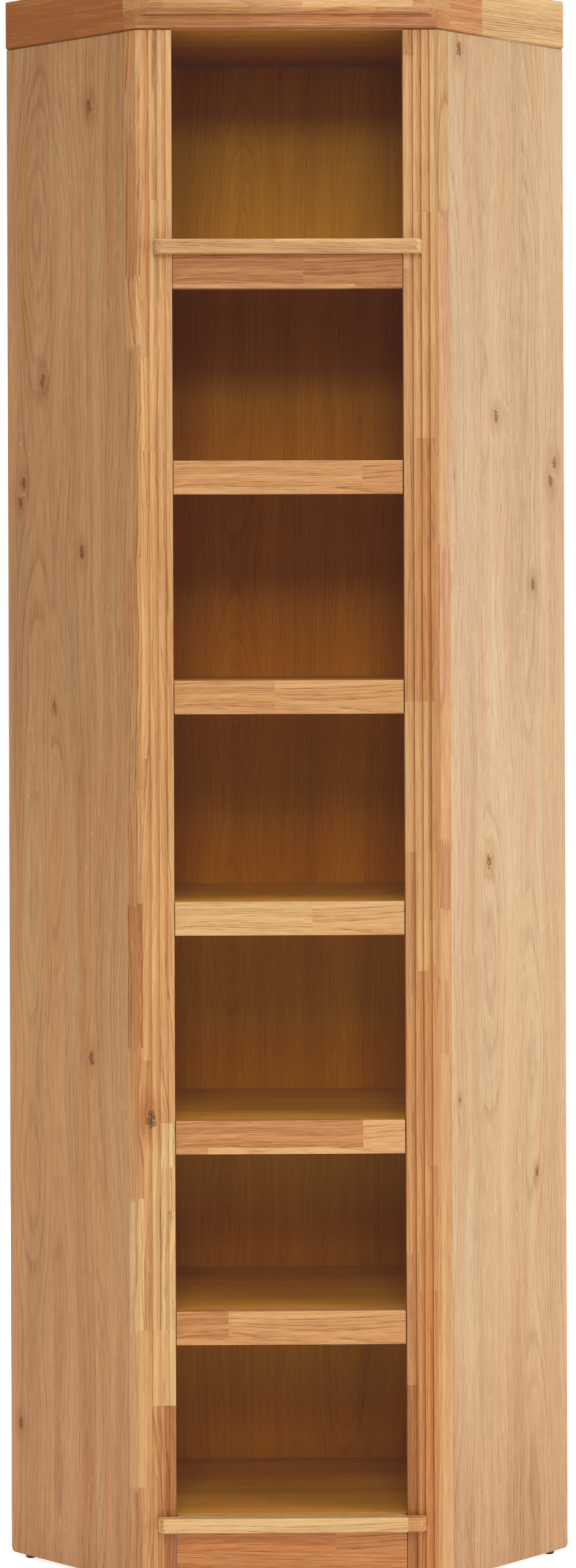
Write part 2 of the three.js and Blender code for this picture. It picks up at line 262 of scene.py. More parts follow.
# %% Board space group
def make_board_space():
    directions = [("Origin", "Vector"), ("Across", "Vector"), ("Inwards", "Vector"), ("Along", "Vector")]
    group, tree, given, result = new_group("Board Space", directions, [("Position", "Vector")])
    point = tree.add("ShaderNodeTexCoord").outputs["Object"]
    local = tree.vector("SUBTRACT", point, given["Origin"])
    axes = [tree.vector("DOT_PRODUCT", local, given[name]) for name in ("Across", "Inwards", "Along")]
    tree.plug(result["Position"], tree.join(*axes))
    return group


BOARD_SPACE = make_board_space()
print("group", BOARD_SPACE.name)

# %% [markdown]
# ## Oak
# Oak shows year rings as porous dark lines, or as pointed arches where the board was cut near the middle
# of the trunk. Rings are the distance from the heart of the trunk, divided by the width of one year. The
# heart wanders along the board, which makes the arches, and a fine ripple makes the lines unsteady. The
# pores break each ring into dashes, which is what tells oak from pine. Between the rings lie fibres and
# short pale ray flecks, and both the tone and the redness drift slowly. All these layers are stretched
# noise, with few spots along the grain and many across it. A knot spreads the grain through the Push input.

# %% Oak layers and their weights
OAK_SPOTS = {
    # spots per metre across the face, into the board and along the grain
    "sway": (9, 9, 1.9), "ripple": (60, 60, 10), "arch": (0, 0, 1.4), "fine": (1150, 1150, 48),
    "streak": (330, 330, 7.0), "fibre": (600, 600, 24), "drift": (24, 24, 1.3), "ray": (210, 210, 85),
    "patch": (16, 16, 7), "hue": (55, 55, 2.2),
}
OAK_SHADES = {"ring": 0.55, "year": 0.16, "streak": 1.0, "fibre": 0.85, "drift": 0.8, "fleck": -0.3}
OAK_ROUGHNESS = {"wood": 0.38, "pore": 0.22, "streak": 0.10}
OAK_RELIEF = {"pore": -0.8, "ring": -0.35}
RING_RISE, RING_FALL = (0.0, 0.16), (0.2, 0.62)
FAINTEST_RING, FAINTEST_DASH = 0.3, 0.35
PORE_BROWN = (0.52, 0.42, 0.34, 1)
PORE_SHARE = 0.28
BOARD_APART = (3.1, 1.7, 9.3)


# %% Oak group
def make_oak():
    sockets = [
        ("Position", "Vector"), ("Seed", "Float"), ("Push", "Float", 0.0), ("Ring Width", "Float", 0.0028),
        ("Heart", "Vector"), ("Heart Spread", "Float", 0.06), ("Wander", "Float", 0.004),
        ("Ripple", "Float", 0.0026), ("Arch", "Float", 0.09), ("Slope", "Float", 0.04),
        ("Hue Drift", "Float", 0.4), ("Tone", "Float", 0.3), ("Redness", "Float", 0.3),
        ("Rings", "Float", 1.0), ("Fibre", "Float", 1.0), ("Flecks", "Float", 0.3),
        ("Pale", "Color"), ("Deep", "Color"), ("Red", "Color"),
    ]
    outputs = [("Color", "Color"), ("Roughness", "Float"), ("Height", "Float")]
    group, tree, given, result = new_group("Oak", sockets, outputs)
    seed = given["Seed"]

    def layer(name, vector, detail, roughness=0.55):
        return tree.noise(vector, OAK_SPOTS[name], detail, roughness)

    def centred(value, width):
        return tree.times(tree.minus(value, 0.5), width)

    def seeded(factor, width):
        """A value from -width/2 to width/2 that differs from board to board."""
        return centred(tree.math("FRACT", tree.times(seed, factor)), width)

    # Where the grain line runs
    x, y, z = tree.parts(given["Position"])
    pushed = tree.minus(x, given["Push"])
    leaning = tree.plus(pushed, tree.times(z, seeded(5.31, given["Slope"])))
    point = tree.vector("ADD", tree.join(leaning, y, z), tree.scaled(BOARD_APART, seed))
    sway = centred(layer("sway", point, 2), tree.times(given["Wander"], 4.0))
    ripple = centred(layer("ripple", point, 2), given["Ripple"])
    offset = tree.plus(sway, ripple)
    heart_x, heart_y, _ = tree.parts(given["Heart"])
    heart_x = tree.plus(heart_x, seeded(7.13, given["Heart Spread"]))
    arch = centred(layer("arch", point, 1), given["Arch"])
    from_x = tree.minus(tree.plus(leaning, offset), heart_x)
    from_y = tree.plus(tree.plus(y, heart_y), arch)
    radius = tree.vector("LENGTH", tree.join(from_x, from_y, 0.0))

    # One year: a porous band at first, smooth wood later, some years stronger than others
    years = tree.math("DIVIDE", radius, given["Ring Width"])
    within = tree.math("FRACT", years)
    band = tree.times(tree.ramp(within, *RING_RISE), tree.ramp(within, *RING_FALL, 1.0, 0.0))
    year_key = {"Vector": tree.join(tree.math("FLOOR", years), seed, 0.0)}
    strength = tree.add("ShaderNodeTexWhiteNoise", year_key, noise_dimensions="3D").outputs["Value"]
    bent = tree.vector("ADD", point, tree.join(offset, 0.0, 0.0))
    fine = layer("fine", bent, 2)
    broken = tree.ramp(fine, 0.40, 0.60, FAINTEST_DASH, 1.0)
    ring = tree.times(band, broken)
    ring = tree.times(ring, tree.ramp(strength, 0.0, 1.0, FAINTEST_RING, 1.0))

    # Streaks, fibres, pores, ray flecks and slow drift
    streak = layer("streak", bent, 3, 0.62)
    fibre = layer("fibre", bent, 3, 0.62)
    pore = tree.ramp(fine, 0.57, 0.70)
    drift = layer("drift", bent, 2)
    ray = tree.ramp(layer("ray", bent, 1), 0.62, 0.72)
    patch = tree.ramp(layer("patch", point, 1), 0.50, 0.66)
    fleck = tree.times(tree.times(ray, patch), given["Flecks"])
    hue = centred(layer("hue", bent, 2), tree.times(given["Hue Drift"], 2.0))

    # The layers together make the tone, and the tone and the redness make the colour
    figure = tree.times(ring, OAK_SHADES["ring"])
    figure = tree.plus(figure, centred(strength, OAK_SHADES["year"]))
    figure = tree.plus(figure, centred(streak, OAK_SHADES["streak"]))
    tone = tree.plus(given["Tone"], tree.times(figure, given["Rings"]))
    tone = tree.plus(tone, tree.times(centred(fibre, OAK_SHADES["fibre"]), given["Fibre"]))
    tone = tree.plus(tone, centred(drift, OAK_SHADES["drift"]))
    tone = tree.plus(tone, tree.times(fleck, OAK_SHADES["fleck"]))
    color = tree.mix(tree.add("ShaderNodeClamp", {"Value": tone}).outputs[0], given["Pale"], given["Deep"])
    missing = tree.vector("SUBTRACT", (1, 1, 1), given["Red"])
    missing = tree.scaled(missing, tree.plus(given["Redness"], hue))
    color = tree.vector("MULTIPLY", color, tree.vector("SUBTRACT", (1, 1, 1), missing))
    pore_dark = tree.mix(1.0, color, PORE_BROWN, "MULTIPLY")
    pore_share = tree.times(pore, tree.times(given["Fibre"], PORE_SHARE))
    tree.plug(result["Color"], tree.mix(pore_share, color, pore_dark))
    pore_rough = tree.times(pore, OAK_ROUGHNESS["pore"])
    rough = tree.plus(pore_rough, tree.times(streak, OAK_ROUGHNESS["streak"]))
    tree.plug(result["Roughness"], tree.plus(rough, OAK_ROUGHNESS["wood"]))
    pore_relief = tree.times(pore, OAK_RELIEF["pore"])
    tree.plug(result["Height"], tree.plus(pore_relief, tree.times(ring, OAK_RELIEF["ring"])))
    return group


OAK = make_oak()
print("group", OAK.name, len(OAK.nodes), "nodes")

# %% [markdown]
# ## Knots
# A knot is where a branch left the trunk: a cracked brown eye that the grain flows around, with a darker
# stain in the wood near it. The group gives its darkness and how far it pushes the grain sideways, and adds
# them to what earlier knots of the board gave, so that several knots are a chain of the same group.

# %% Knot group
KNOT_SPOTS, CRACK_SPOTS = (230, 0, 130), (520, 0, 240)
EYE_STRETCH = 0.48
EYE_RAGGEDNESS = 1.6
STAIN = 0.26
PUSH_ACROSS, PUSH_ALONG, PUSH_SHARE = 0.42, 0.15, 0.78


def make_knot():
    sockets = [("Position", "Vector"), ("Place", "Vector"), ("Size", "Float", 0.01),
               ("Dark So Far", "Float", 0.0), ("Push So Far", "Float", 0.0)]
    group, tree, given, result = new_group("Knot", sockets, [("Dark", "Float"), ("Push", "Float")])
    x, _, z = tree.parts(tree.vector("SUBTRACT", given["Position"], given["Place"]))
    distance = tree.vector("LENGTH", tree.join(x, 0.0, tree.times(z, EYE_STRETCH)))
    distance = tree.math("DIVIDE", distance, given["Size"])
    ragged = tree.noise(given["Position"], KNOT_SPOTS, 3, 0.7)
    ragged = tree.times(tree.minus(ragged, 0.5), EYE_RAGGEDNESS)
    eye = tree.ramp(tree.plus(distance, ragged), 0.45, 0.95, 1.0, 0.0)
    crack = tree.ramp(tree.noise(given["Position"], CRACK_SPOTS, 2), 0.40, 0.60, 0.5, 1.0)
    stain = tree.ramp(distance, 0.9, 3.2, STAIN, 0.0)
    dark = tree.math("MAXIMUM", tree.times(eye, crack), stain)
    tree.plug(result["Dark"], tree.math("MAXIMUM", dark, given["Dark So Far"]))
    reach_x, reach_z = tree.times(x, PUSH_ACROSS), tree.times(z, PUSH_ALONG)
    reach = tree.math("DIVIDE", tree.vector("LENGTH", tree.join(reach_x, 0.0, reach_z)), given["Size"])
    fall = tree.math("EXPONENT", tree.times(tree.math("POWER", reach, 2.0), -1.0))
    push = tree.times(x, tree.times(fall, PUSH_SHARE))
    tree.plug(result["Push"], tree.plus(push, given["Push So Far"]))
    return group


KNOT = make_knot()
print("group", KNOT.name, len(KNOT.nodes), "nodes")

# %% [markdown]
# ## Edge wear
# Hands and cloths polish the arrises of a wooden board first. The Bevel node looks a little way around each
# point: where its averaged normal departs from the real one, the point is on an edge.

# %% Edge wear group
def make_edge_wear():
    sockets = [("Reach", "Float", 0.0016), ("Patchiness", "Float", 0.5)]
    group, tree, given, result = new_group("Edge Wear", sockets, [("Mask", "Float")])
    rounded = tree.add("ShaderNodeBevel", {"Radius": given["Reach"]}, samples=3).outputs[0]
    true_normal = tree.add("ShaderNodeNewGeometry").outputs["Normal"]
    turn = tree.minus(1.0, tree.vector("DOT_PRODUCT", rounded, true_normal))
    point = tree.add("ShaderNodeTexCoord").outputs["Object"]
    patches = tree.ramp(tree.noise(point, (35, 35, 35), 3), 0.35, 0.65)
    uneven = tree.minus(1.0, tree.times(given["Patchiness"], patches))
    tree.plug(result["Mask"], tree.times(tree.ramp(turn, 0.01, 0.22), uneven))
    return group


EDGE_WEAR = make_edge_wear()
print("group", EDGE_WEAR.name)

# %% [markdown]
# ## Groove shade
# Painted shade darkens the narrow grooves of a moulding. Ambient occlusion over a few millimetres finds
# them: it measures how much of the sky above a point the piece itself covers.

# %% Groove shade group
def make_groove_shade():
    sockets = [("Reach", "Float", 0.004)]
    group, tree, given, result = new_group("Groove Shade", sockets, [("Mask", "Float")])
    reach = {"Distance": given["Reach"]}
    occlusion = tree.add("ShaderNodeAmbientOcclusion", reach, samples=6, only_local=True)
    tree.plug(result["Mask"], tree.ramp(occlusion.outputs["AO"], 0.45, 0.85, 1.0, 0.0))
    return group


GROOVE_SHADE = make_groove_shade()
print("group", GROOVE_SHADE.name)

# %% [markdown]
# ## Flute shade
# Inside the flutes, the wall that looks away from the keys at the right gets painted shade, a darker
# colour. The mask is found from the depth of the point in the board and from the way its surface faces.

# %% Flute shade group
FLUTE_STARTS, FLUTE_ENDS = (0.05 * MM, 0.4 * MM), (2.5 * MM, 2.7 * MM)
FACE_STARTS, FACE_ENDS = (4 * MM, 5 * MM), (60 * MM, 61 * MM)
DARK_SIDE = (-1, 0, 0)


def make_flute_shade():
    group, tree, given, result = new_group("Flute Shade", [("Position", "Vector")], [("Mask", "Float")])
    across, inwards, _ = tree.parts(given["Position"])
    sunk = tree.times(tree.ramp(inwards, *FLUTE_STARTS), tree.ramp(inwards, *FLUTE_ENDS, 1, 0))
    on_face = tree.times(tree.ramp(across, *FACE_STARTS), tree.ramp(across, *FACE_ENDS, 1, 0))
    normal = tree.add("ShaderNodeNewGeometry").outputs["Normal"]
    away = tree.ramp(tree.vector("DOT_PRODUCT", normal, DARK_SIDE), 0.05, 0.95)
    tree.plug(result["Mask"], tree.times(tree.times(sunk, on_face), away))
    return group


FLUTE_SHADE = make_flute_shade()
print("group", FLUTE_SHADE.name)

# %% [markdown]
# ## Glued lamellas
# Solid oak boards of this unit are glued from strips, the lamellas, and each strip from shorter blocks
# whose ends are cut into fingers. Every block has its own tone. A colour ramp with constant steps is a
# handy list of blocks: its position is the height on the board, and the red, green and blue of a step hold
# the block's tone, redness and grain seed. A negative redness is cream, and a ramp can't hold it, so a
# share is added in the ramp and taken off behind it. One ramp serves one lamella. The fingers show as a
# zigzag on the edge of the board and as a straight line on its face and in the flutes, because the place
# along the grain is shifted by the depth below the flutes.

# %% Lamella ramps
FINGER_LENGTH = 9 * MM
FINGER_PITCH = 3.8 * MM
FACE_DEPTH = 2.6 * MM
CREAM_SHARE = 0.5
FIRST_SEED, LAMELLA_SEED, BLOCK_SEED = 0.137, 0.291, 0.381


def lamella_values(tree, position, lamellas, low, high):
    """Tone, redness and seed at a place. lamellas: [(limit across, [(start, tone, redness), ...]), ...]."""
    across, inwards, along = tree.parts(position)
    below_face = tree.math("MAXIMUM", tree.minus(inwards, FACE_DEPTH), 0.0)
    zigzag = tree.math("PINGPONG", below_face, FINGER_PITCH / 2)
    zigzag = tree.times(zigzag, FINGER_LENGTH / (FINGER_PITCH / 2))
    place = tree.math("DIVIDE", tree.minus(tree.plus(along, zigzag), low), high - low)
    chosen = None
    for number, (_, blocks) in enumerate(lamellas):
        node = tree.add("ShaderNodeValToRGB", {"Fac": place})
        ramp = node.color_ramp
        ramp.interpolation = "CONSTANT"
        ramp.elements.remove(ramp.elements[1])
        for index, (start, tone, redness) in enumerate(blocks):
            share = max(0.0, (start - low) / (high - low))
            step = ramp.elements[0] if index == 0 else ramp.elements.new(share)
            seed = (FIRST_SEED + LAMELLA_SEED * number + BLOCK_SEED * index) % 1
            step.color = (tone, redness + CREAM_SHARE, seed, 1)
        if chosen is None:
            chosen = node.outputs[0]
        else:
            inside = tree.math("GREATER_THAN", across, lamellas[number - 1][0])
            chosen = tree.mix(inside, chosen, node.outputs[0])
    tone, redness, seed = tree.add("ShaderNodeSeparateColor", {0: chosen}).outputs
    return tone, tree.minus(redness, CREAM_SHARE), seed


# %% [markdown]
# ## Oak materials
# All wooden pieces share one recipe: board space, the block's tone from its lamella, the Oak group, then
# knots, painted shade in flutes and grooves, painted light and shade by height, edge wear and a thin satin
# lacquer. A material differs by its directions, its blocks and its palette. Wood inside the unit has a
# faint cold glow, painted light that stands in for cold light in the bays. That is no property of oak: it
# was set because the bays came out with less blue than in the photograph.

# %% Wood colours and finishes
PALETTES = {
    # pale wood, dark wood, and the colour that redness multiplies in
    "solid": ((0.70, 0.41, 0.172, 1), (0.31, 0.115, 0.029, 1), (1.0, 0.76, 0.58, 1)),
    "veneer": ((0.557, 0.363, 0.200, 1), (0.292, 0.150, 0.054, 1), (1.0, 0.80, 0.66, 1)),
    # a browner copy of the veneer for the left side, partly painted shade of the dimmer, warmer light there
    "shaded_brown_veneer": ((0.585, 0.332, 0.154, 1), (0.270, 0.121, 0.042, 1), (1.0, 0.80, 0.66, 1)),
    "inner": ((0.745, 0.338, 0.022, 1), (0.367, 0.136, 0.006, 1), (1.0, 0.80, 0.62, 1)),
    "shelf": ((0.70, 0.345, 0.040, 1), (0.375, 0.155, 0.013, 1), (1.0, 0.80, 0.62, 1)),
}
KNOT_BROWN = (0.135, 0.066, 0.030, 1)
KNOT_RUST = (0.84, 0.70, 0.54, 1)
# colour that painted shade multiplies in, in the flutes and in the grooves of the moulding
RECESS_SHADE = (0.66, 0.50, 0.38, 1)
RAW_WOOD = (0.60, 0.375, 0.190, 1)
# cold glow of the inner wood: painted light that no lamp gives
INNER_PAINTED_GLOW = (0.0010, 0.0044, 0.0088, 1)
LACQUERED, OILED = (0.28, 0.12), (0.05, 0.0)
COAT_ROUGHNESS = 0.32
GRAIN_RELIEF = {"Strength": 0.35, "Distance": 0.3 * MM}
RAW_SHARE, RAW_TURN = 0.55, (0.2, 0.4)
WORN_SHARE, WORN_ROUGHNESS = 0.30, 0.06
SHEET_SEED, SHEET_SPREAD = 3.7, 0.4173


# %% Wood recipe
def painted_light_steps(tree, height, rows):
    """What rows of height, tone and redness, painted light and shade, add at a height to the values of their
    first row.
    """
    gained_tone, gained_redness = 0.0, 0.0
    for (low, low_tone, low_redness), (high, high_tone, high_redness) in zip(rows, rows[1:]):
        tone_step = tree.ramp(height, low, high, 0.0, high_tone - low_tone)
        redness_step = tree.ramp(height, low, high, 0.0, high_redness - low_redness)
        gained_tone = tree.plus(gained_tone, tone_step)
        gained_redness = tree.plus(gained_redness, redness_step)
    return gained_tone, gained_redness


def wood_material(name, origin, across, inwards, along, palette, lamellas=None, span=(0, 1), knots=(),
                  leaf=None, tone=0.35, redness=0.3, seed=0.5, gloss=LACQUERED, painted_light=(), fluted=0.0,
                  grooved=False, haze=False, raw_side=None, **oak):
    """One oak finish. lamellas and span describe glued blocks; leaf is the width of a sheet of veneer;
    the height rows hold painted light and shade; raw_side is the direction of a side that never got any oil."""
    material, tree, shader = new_material(name)
    directions = {"Origin": origin, "Across": across, "Inwards": inwards, "Along": along}
    position = tree.use(BOARD_SPACE, directions)["Position"]
    grain_place = position
    if lamellas:
        tone, redness, seed = lamella_values(tree, position, lamellas, *span)
    if leaf:
        x, y, z = tree.parts(position)
        sheet = tree.math("FLOOR", tree.math("DIVIDE", x, leaf))
        seed = tree.times(tree.plus(sheet, SHEET_SEED), SHEET_SPREAD + seed)
        middle = tree.times(tree.plus(sheet, 0.5), leaf)
        grain_place = tree.join(tree.minus(x, middle), y, z)
    if raw_side:
        normal = tree.add("ShaderNodeNewGeometry").outputs["Normal"]
        raw = tree.ramp(tree.vector("DOT_PRODUCT", normal, raw_side), *RAW_TURN)
    # painted light and shade over the height of the board, kept off its raw side
    if painted_light:
        gained_tone, gained_redness = painted_light_steps(tree, tree.parts(position)[2], painted_light)
        if raw_side:
            in_light = tree.minus(1.0, raw)
            gained_tone = tree.times(gained_tone, in_light)
            gained_redness = tree.times(gained_redness, in_light)
        tone = tree.plus(tone, gained_tone)
        redness = tree.plus(redness, gained_redness)
    dark, push = 0.0, 0.0
    for place_across, place_along, size in knots:
        chain = {"Position": position, "Place": (place_across, 0, place_along), "Size": size,
                 "Dark So Far": dark, "Push So Far": push}
        dark, push = tree.use(KNOT, chain)
    pale, deep, red = PALETTES[palette]
    values = {"Position": grain_place, "Seed": seed, "Tone": tone, "Redness": redness, "Push": push,
              "Pale": pale, "Deep": deep, "Red": red, **oak}
    color, rough, height = tree.use(OAK, values)
    if knots:
        rusty = tree.mix(1.0, color, KNOT_RUST, "MULTIPLY")
        color = tree.mix(tree.ramp(dark, 0.0, 0.4), color, rusty)
        color = tree.mix(tree.ramp(dark, 0.3, 0.9), color, KNOT_BROWN)
    # the wood darkened by painted shade, for flutes and grooves
    recess_shaded = tree.mix(1.0, color, RECESS_SHADE, "MULTIPLY")
    # painted shade on the flute wall that faces away from the light
    if fluted:
        shaded = tree.use(FLUTE_SHADE, {"Position": position})["Mask"]
        color = tree.mix(tree.times(shaded, fluted), color, recess_shaded)
    # painted shade in the grooves of the moulding
    if grooved:
        color = tree.mix(tree.use(GROOVE_SHADE, {})["Mask"], color, recess_shaded)
    if raw_side:
        color = tree.mix(raw, color, tree.mix(RAW_SHARE, color, RAW_WOOD))
    worn = tree.use(EDGE_WEAR, {})["Mask"]
    color = tree.mix(tree.times(worn, WORN_SHARE), color, tree.mix(0.5, color, pale))
    rough = tree.plus(rough, tree.times(worn, WORN_ROUGHNESS))
    bump = tree.add("ShaderNodeBump", {"Height": height, **GRAIN_RELIEF})
    tree.plug(shader.inputs["Base Color"], color)
    tree.plug(shader.inputs["Roughness"], rough)
    tree.plug(shader.inputs["Normal"], bump.outputs[0])
    shader.inputs["Specular IOR Level"].default_value, shader.inputs["Coat Weight"].default_value = gloss
    shader.inputs["Coat Roughness"].default_value = COAT_ROUGHNESS
    # painted glow: emission stands in for cold light in the bays
    if haze:
        shader.inputs["Emission Color"].default_value = INNER_PAINTED_GLOW
        shader.inputs["Emission Strength"].default_value = 1.0
    return material


# %% [markdown]
# ## Pilasters
# Each pilaster is a solid board with three round flutes. Its outer lamella wraps the 45 degree edge, which
# is why one strip of wood runs around the corner. The heights in metres where the blocks start were
# measured on the photograph. Their tone, from cream to deep brown, and their redness were set to
# match it. The left board has wide rings that run in flames, the right one finer and calmer lines.

# %% Pilaster materials
LAMELLA_LIMITS = (6 * MM, 17 * MM, 32 * MM, 1.0)
LEFT_BLOCKS = (
    [(0, .46, .30), (.134, .34, .20), (.346, .18, -.25), (.527, .40, .20), (.738, .58, .46),
     (.93, .49, .28), (1.088, .50, .15), (1.402, .56, .20), (1.70, .42, .10), (1.79, .57, .25),
     (2.0, .50, .10)],
    [(0, .33, .30), (.134, .21, .15), (.346, .22, .20), (.633, .42, .35), (.72, .23, .20),
     (1.130, .24, .25), (1.550, .27, .30), (1.68, .42, .40), (1.76, .34, .20)],
    [(0, .33, .30), (.246, .20, .05), (.632, .24, .30), (1.130, .25, .30), (1.550, .27, .10),
     (1.893, .35, .05)],
    [(0, .74, .60), (.246, .14, -.20), (.35, .04, -.45), (.51, .14, -.25), (.57, .04, -.45),
     (.632, .25, .20), (1.130, .27, .30), (1.550, .26, .05), (1.893, .38, .05)],
)
RIGHT_BLOCKS = (
    [(0, .36, .05), (.525, .52, .00), (.726, .56, .20), (.826, .44, -.05), (.92, .66, .25),
     (1.02, .56, .20), (1.110, .58, .10), (1.418, .60, -.05), (1.88, .50, -.45)],
    [(0, .46, 1.0), (.40, .47, .85), (.50, .42, .70), (.57, .36, .65), (.847, .30, .15),
     (.91, .50, .30), (1.0, .48, .30), (1.205, .58, .45), (1.566, .44, .20), (1.70, .38, .10),
     (1.88, .31, .0)],
    [(0, .42, .95), (.40, .44, .80), (.50, .38, .60), (.57, .34, .60), (.84, .30, .05),
     (1.205, .52, .45), (1.566, .36, .10), (1.874, .42, .20)],
    [(0, .80, .55), (.27, .62, .50), (.453, .48, .35), (.807, .44, .20), (.998, .40, .00),
     (1.21, .56, .20), (1.41, .46, .15), (1.80, .40, .05), (2.09, .48, .20)],
)
PILASTER_KNOTS = {"left": [(17 * MM, .640, 9 * MM)], "right": []}
# share of painted shade in the flutes of each pilaster
FLUTE_PAINTED_SHADE = {"left": 0.3, "right": 1.0}
PILASTER_GRAIN = {
    "left": {"Heart": (0.0, 0.012, 0), "Heart Spread": 0.04, "Ring Width": 6.0 * MM, "Wander": 0.014,
             "Ripple": 0.011, "Arch": 0.03, "Rings": 0.95, "Fibre": 0.6, "Slope": 0.10, "Hue Drift": 0.9},
    "right": {"Heart": (0.0, 0.035, 0), "Heart Spread": 0.09, "Ring Width": 2.9 * MM, "Rings": 0.55,
              "Fibre": 0.8},
}
materials = {}
for side, blocks in (("left", LEFT_BLOCKS), ("right", RIGHT_BLOCKS)):
    hand = HANDS[side]
    materials["pilaster_" + side] = wood_material(
        "pilaster oak " + side, corner(hand), -X * hand, Y, Z, "solid",
        lamellas=list(zip(LAMELLA_LIMITS, blocks)), span=(0, unit_top), knots=PILASTER_KNOTS[side],
        fluted=FLUTE_PAINTED_SHADE[side], **PILASTER_GRAIN[side],
    )
print("pilaster blocks", sum(len(row) for row in LEFT_BLOCKS + RIGHT_BLOCKS))

# %% [markdown]
# ## Side panels
# The sides are board with a knotty oak veneer, laid as upright sheets side by side. Their knots are the
# small dark eyes of the photograph, given by distance from the front corner, height and size. The left
# side gets a browner copy of the veneer, partly painted shade of the dimmer, warmer light on that side.
# Both sides get painted light and shade over their height, by rows set to match the photograph. The
# planks of the cap follow the same slanted run.

# %% Side panel and cap plank materials
VENEER_SHEET = 88 * MM
SIDE_VENEER = {
    # the left side's browner palette and higher redness partly paint its dimmer, warmer light
    "left": {"palette": "shaded_brown_veneer", "tone": 0.30, "redness": 0.60, "seed": 0.11},
    "right": {"palette": "veneer", "tone": 0.48, "redness": 0.46, "seed": 0.57},
}
# painted light and shade over the height of each side
SIDE_PAINTED_LIGHT = {
    # height, change of tone and change of redness
    "left": [(0.0, 0.0, 0.0), (0.9, -.10, -.28), (1.25, .0, -.34), (1.75, .02, -.34), (2.1, .14, -.34)],
    "right": [(0.0, 0.0, 0.0), (0.45, -.28, -.32), (0.9, -.38, -.45), (1.5, -.24, -.45),
              (2.1, -.26, -.45)],
}
SIDE_KNOTS = {
    "left": [(.094, 2.035, .0075), (.191, 1.660, .0075), (.231, 1.517, .0065), (.238, 1.490, .006),
             (.111, 1.420, .0065), (.169, 1.205, .004), (.095, .718, .0075), (.244, .190, .006)],
    "right": [(.043, 2.111, .0075), (.118, 1.606, .0065), (.244, 1.545, .0065), (.235, 1.519, .0065),
              (.196, 1.372, .0065), (.100, .988, .0075), (.037, .662, .003), (.200, .545, .005)],
}
SIDE_GRAIN = {"Heart": (0.012, 0.05, 0), "Heart Spread": 0.10, "Ring Width": 3.8 * MM, "Wander": 0.011,
              "Ripple": 0.004, "Rings": 0.64, "Fibre": 1.15, "Flecks": 0.8, "Slope": 0.03,
              "Hue Drift": 0.9}
CAP_BLOCKS = {"left": [(0, .90, .70), (.12, .94, .72)], "right": [(0, .52, .60), (.090, .31, -.50)]}
CAP_GRAIN = {"Heart": (0.1, 0.03, 0), "Heart Spread": 0.05, "Ring Width": 3.0 * MM}
CAP_SPAN = (0, 0.3)
for side, hand in HANDS.items():
    space = (corner(hand), side_run(hand), side_inwards(hand), Z)
    materials["side_panel_" + side] = wood_material(
        "side veneer " + side, *space, knots=SIDE_KNOTS[side], leaf=VENEER_SHEET,
        painted_light=SIDE_PAINTED_LIGHT[side], **SIDE_VENEER[side], **SIDE_GRAIN,
    )
    space = (corner(hand) + Z * unit_top, -Z, side_inwards(hand), side_run(hand))
    materials["cap_side_" + side] = wood_material(
        "cap oak " + side, *space, "solid", lamellas=[(1.0, CAP_BLOCKS[side])], span=CAP_SPAN, **CAP_GRAIN,
    )
print("knots", {side: len(rows) for side, rows in SIDE_KNOTS.items()})

# %% [markdown]
# ## Rails, nosings and front of the cap
# These run across the opening, so their grain lies along X and their lamellas are stacked downwards from
# the top edge. Each entry names the piece and its lamellas: how far down each one reaches, and its blocks,
# found like those of the pilasters, which start at a distance from the middle of the front.

# %% Materials of the crosswise boards
EDGE = -0.25
REST = 1.0
CROSSWISE = {
    "upper_rail": [(.040, [(EDGE, .67, .50), (.02, .70, .55)]),
                   (REST, [(EDGE, .49, .22), (.09, .60, .42)])],
    "shelf_1_rail": [(.037, [(EDGE, .38, .32), (.10, .46, .48)]),
                     (REST, [(EDGE, .34, .25), (.028, .46, .45)])],
    "shelf_2_rail": [(.037, [(EDGE, .38, .32), (-.02, .36, .30)]),
                     (REST, [(EDGE, .42, .35), (.07, .34, .25)])],
    "shelf_3_rail": [(.037, [(EDGE, .12, -.15), (.030, .20, .02)]),
                     (REST, [(EDGE, .16, -.10), (.030, .26, .15)])],
    "shelf_4_rail": [(.037, [(EDGE, .50, .60), (.099, .18, .30)]),
                     (REST, [(EDGE, .50, .50), (-.115, .14, .20)])],
    "shelf_5_rail": [(.037, [(EDGE, .53, .60), (-.086, .36, .45)]),
                     (REST, [(EDGE, .43, .50), (.05, .38, .45)])],
    "upper_nosing": [(.005, [(EDGE, .35, -.10), (-.018, .28, -.15)]),
                     (REST, [(EDGE, .42, -.10), (.09, .38, -.10)])],
    "bottom_nosing": [(REST, [(EDGE, .44, .25), (-.177, .14, -.25), (.158, .54, .40)])],
    "plinth_front": [(.030, [(EDGE, .52, 1.05), (.06, .48, 1.0)]), (REST, [(EDGE, .56, 1.0)])],
    "cornice_front": [(.040, [(EDGE, .51, .20), (-.17, .34, .14), (.02, .30, .12), (.17, .47, .24)]),
                      (REST, [(EDGE, .68, .55), (-.05, .64, .50), (.12, .70, .56)])],
}
CROSSWISE_GRAIN = {"Heart": (0.02, 0.03, 0), "Heart Spread": 0.10, "Ring Width": 2.6 * MM, "Fibre": 1.1,
                   "Slope": 0.12}
PLAIN_RINGS, MOULDED_RINGS = 0.85, 0.55
for name, lamellas in CROSSWISE.items():
    low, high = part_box(name)
    moulded = name == "cornice_front"
    materials[name] = wood_material(
        name.replace("_", " ") + " oak", Vector((0, low.y, high.z)), -Z, Y, X, "solid",
        lamellas=lamellas, span=(EDGE, -EDGE), grooved=moulded,
        **{"Rings": MOULDED_RINGS if moulded else PLAIN_RINGS, **CROSSWISE_GRAIN},
    )
print("crosswise boards", len(CROSSWISE))
